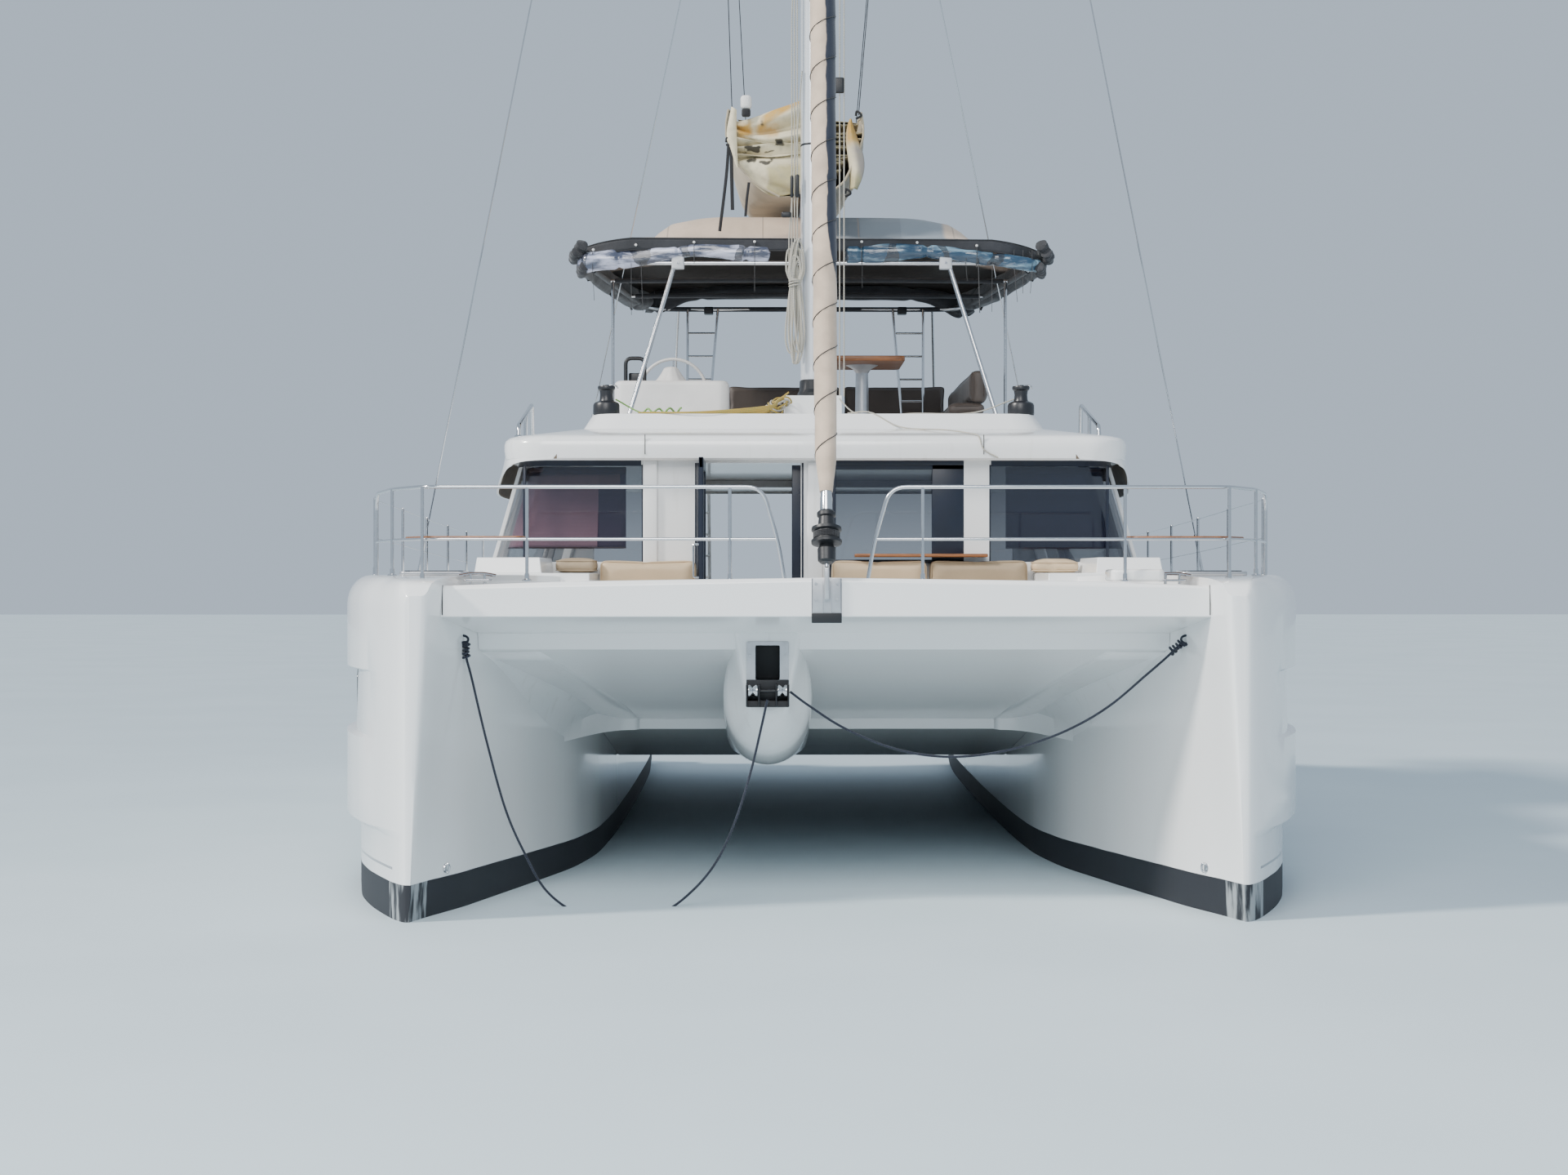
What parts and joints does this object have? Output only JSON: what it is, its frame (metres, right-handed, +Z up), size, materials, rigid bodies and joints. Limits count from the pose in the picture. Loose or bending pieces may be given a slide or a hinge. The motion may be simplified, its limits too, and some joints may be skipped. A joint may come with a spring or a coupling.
{
  "type": "sailing catamaran",
  "caption": "Cruising sailing catamaran with a solid foredeck, forward lounge, flybridge under a bimini, folded mainsail and furled headsail, lying to a mooring bridle.",
  "frame": {"origin": "on the centreline, amidships, at the waterline", "axes": "+X to port, -Y towards the bows, +Z up"},
  "size_m": [7.443, 13.6, 21.52],
  "materials": {
    "gelcoat": "polished white gelcoat",
    "antifouling": "matt black antifouling paint",
    "stainless": "polished stainless tube and wire",
    "spar": "white-painted aluminium",
    "tinted_glass": "dark mauve tinted glass",
    "black_trim": "satin black",
    "tan_canvas": "woven tan acrylic canvas",
    "black_canvas": "black and grey-tan coated canvas",
    "beige_vinyl": "beige marine vinyl",
    "taupe_vinyl": "dark taupe marine vinyl",
    "teak": "oiled wood",
    "rope": "braided navy-black rope",
    "bronze": "cast bronze",
    "engine_paint": "grey enamel"
  },
  "bodies": {
    "boat": {"hull_starboard": "gelcoat", "hull_port": "gelcoat", "bridgedeck": "gelcoat", "foredeck": "gelcoat", "nacelle": "gelcoat", "front_wall": "gelcoat", "front_glass_centre": "tinted_glass", "roof": "gelcoat", "fly_moulding": "gelcoat", "helm_console": "gelcoat", "helm_seat": "black_trim", "fly_cushions": "taupe_vinyl", "fly_table": "teak", "bimini_frame": "stainless", "bimini_canvas": "black_canvas", "mast": "spar", "furled_genoa": "tan_canvas", "forestay_bracket": "stainless", "bow_roller": "black_trim", "bridle_port": "rope", "bridle_starboard": "rope", "sofa_starboard": "beige_vinyl", "sofa_port": "beige_vinyl", "bar_shelf": "teak", "aft_bench": "gelcoat", "fly_stairs": "gelcoat", "cockpit_table": "teak", "galley": "gelcoat", "saloon_sofa": "beige_vinyl", "aft_door": "black_trim", "side_wall_starboard": "gelcoat", "corner_glass_starboard": "tinted_glass", "side_glass_starboard": "tinted_glass", "cap_shroud_starboard": "stainless", "lower_shroud_starboard": "stainless", "pulpit_starboard": "stainless", "guard_rail_starboard": "stainless", "winch_starboard": "black_trim", "drive_unit_starboard": "engine_paint", "keel_starboard": "antifouling", "side_wall_port": "gelcoat", "corner_glass_port": "tinted_glass", "side_glass_port": "tinted_glass", "cap_shroud_port": "stainless", "lower_shroud_port": "stainless", "pulpit_port": "stainless", "guard_rail_port": "stainless", "winch_port": "black_trim", "drive_unit_port": "engine_paint", "keel_port": "antifouling"},
    "boom": {"boom": "spar", "mainsail_bag": "tan_canvas"},
    "helm_wheel": {"helm_wheel": "stainless"},
    "front_door": {"front_door": "black_trim"},
    "rudder_starboard": {"rudder_starboard": "antifouling"},
    "propeller_starboard": {"propeller_starboard": "bronze"},
    "engine_hatch_starboard": {"engine_hatch_starboard": "gelcoat"},
    "rudder_port": {"rudder_port": "antifouling"},
    "propeller_port": {"propeller_port": "bronze"},
    "engine_hatch_port": {"engine_hatch_port": "gelcoat"}
  },
  "joints": [
    {"name": "rudder_starboard_steer", "type": "hinge", "parent": "boat", "child": "rudder_starboard", "pos_m": [-2.695, 5.65, -0.44], "axis": [0, 0, 1], "range_deg": [-35, 35]},
    {"name": "rudder_port_steer", "type": "hinge", "parent": "boat", "child": "rudder_port", "pos_m": [2.695, 5.65, -0.44], "axis": [0, 0, 1], "range_deg": [-35, 35]},
    {"name": "wheel_turn", "type": "hinge", "parent": "boat", "child": "helm_wheel", "pos_m": [-1.33, 0.12, 4.15], "axis": [0, 1, 0], "range_deg": [-350, 350]},
    {"name": "propeller_starboard_spin", "type": "hinge", "parent": "boat", "child": "propeller_starboard", "pos_m": [-2.695, 4.9, -0.83], "axis": [0, 1, 0], "continuous": true},
    {"name": "propeller_port_spin", "type": "hinge", "parent": "boat", "child": "propeller_port", "pos_m": [2.695, 4.9, -0.83], "axis": [0, 1, 0], "continuous": true},
    {"name": "boom_swing", "type": "hinge", "parent": "boat", "child": "boom", "pos_m": [0, -1.075, 6.01], "axis": [0, 0, 1], "range_deg": [-30, 30]},
    {"name": "front_door_swing", "type": "hinge", "parent": "boat", "child": "front_door", "pos_m": [-0.95, -2.96, 1.806], "axis": [0, 0, 1], "range_deg": [0, 88]},
    {"name": "engine_hatch_starboard_lift", "type": "hinge", "parent": "boat", "child": "engine_hatch_starboard", "pos_m": [-2.695, 4.296, 2.177], "axis": [1, 0, 0], "range_deg": [0, 80]},
    {"name": "engine_hatch_port_lift", "type": "hinge", "parent": "boat", "child": "engine_hatch_port", "pos_m": [2.695, 4.296, 2.177], "axis": [1, 0, 0], "range_deg": [0, 80]}
  ],
  "couplings": [
    {"joint": "rudder_port_steer", "follows": "rudder_starboard_steer", "ratio": 1},
    {"joint": "wheel_turn", "follows": "rudder_starboard_steer", "ratio": 10}
  ]
}
